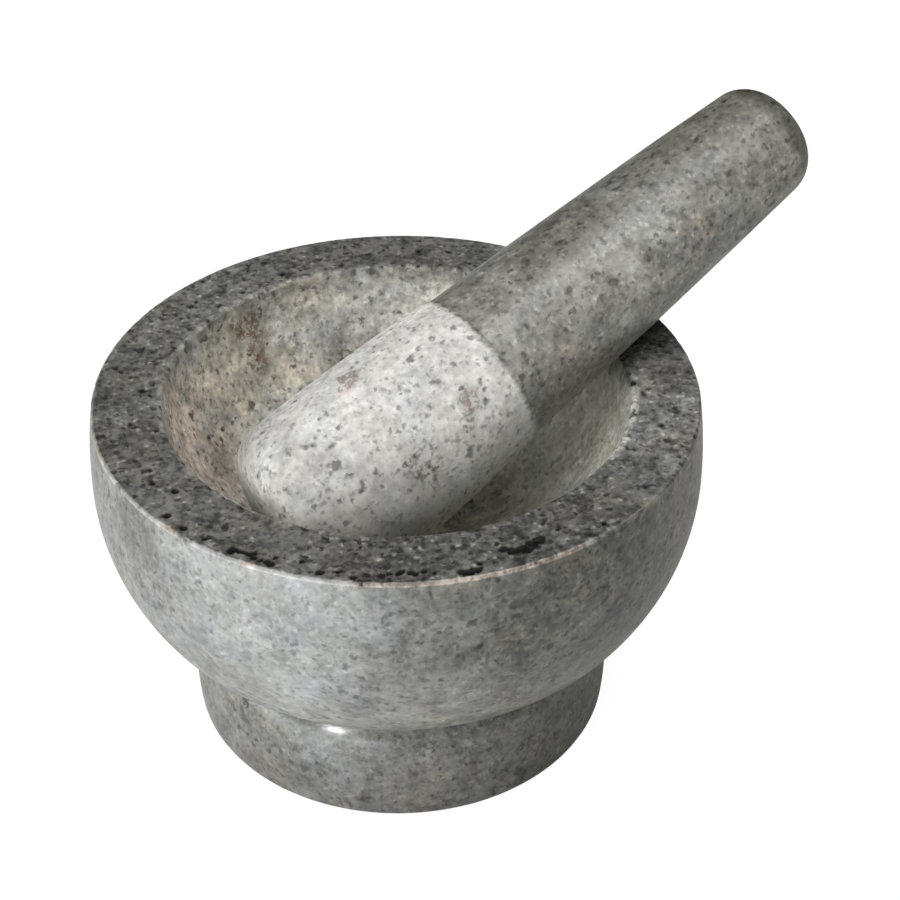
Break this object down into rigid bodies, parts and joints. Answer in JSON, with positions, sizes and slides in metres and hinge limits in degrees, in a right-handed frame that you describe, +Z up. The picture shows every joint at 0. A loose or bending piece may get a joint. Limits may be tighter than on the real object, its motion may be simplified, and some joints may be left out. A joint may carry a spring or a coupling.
{
  "type": "mortar and pestle",
  "caption": "Turned granite mortar with a flat rim, polished round bowl and pedestal foot, with a long tapered pestle leaning in its ground hollow, for crushing and grinding food",
  "frame": {"origin": "centre of the flat underside of the mortar's foot, on the bowl's axis of revolution", "axes": "+Z up along the bowl's axis, front is -Y; the pestle's handle points towards +X and +Y, 34.8 degrees round from +X and 21 degrees above level"},
  "size_m": [0.1792, 0.15, 0.1449],
  "materials": {
    "granite_mortar": "satin-polished outside, sawn rim, ground inside",
    "granite_pestle": "ground head, satin-polished handle"
  },
  "bodies": {
    "mortar": {"mortar": "granite_mortar"},
    "pestle": {"pestle": "granite_pestle"}
  },
  "joints": [
    {"name": "pestle_lift", "type": "slide", "parent": "mortar", "child": "pestle", "axis": [0, 0, 1], "range_m": [0, 0.1]}
  ]
}
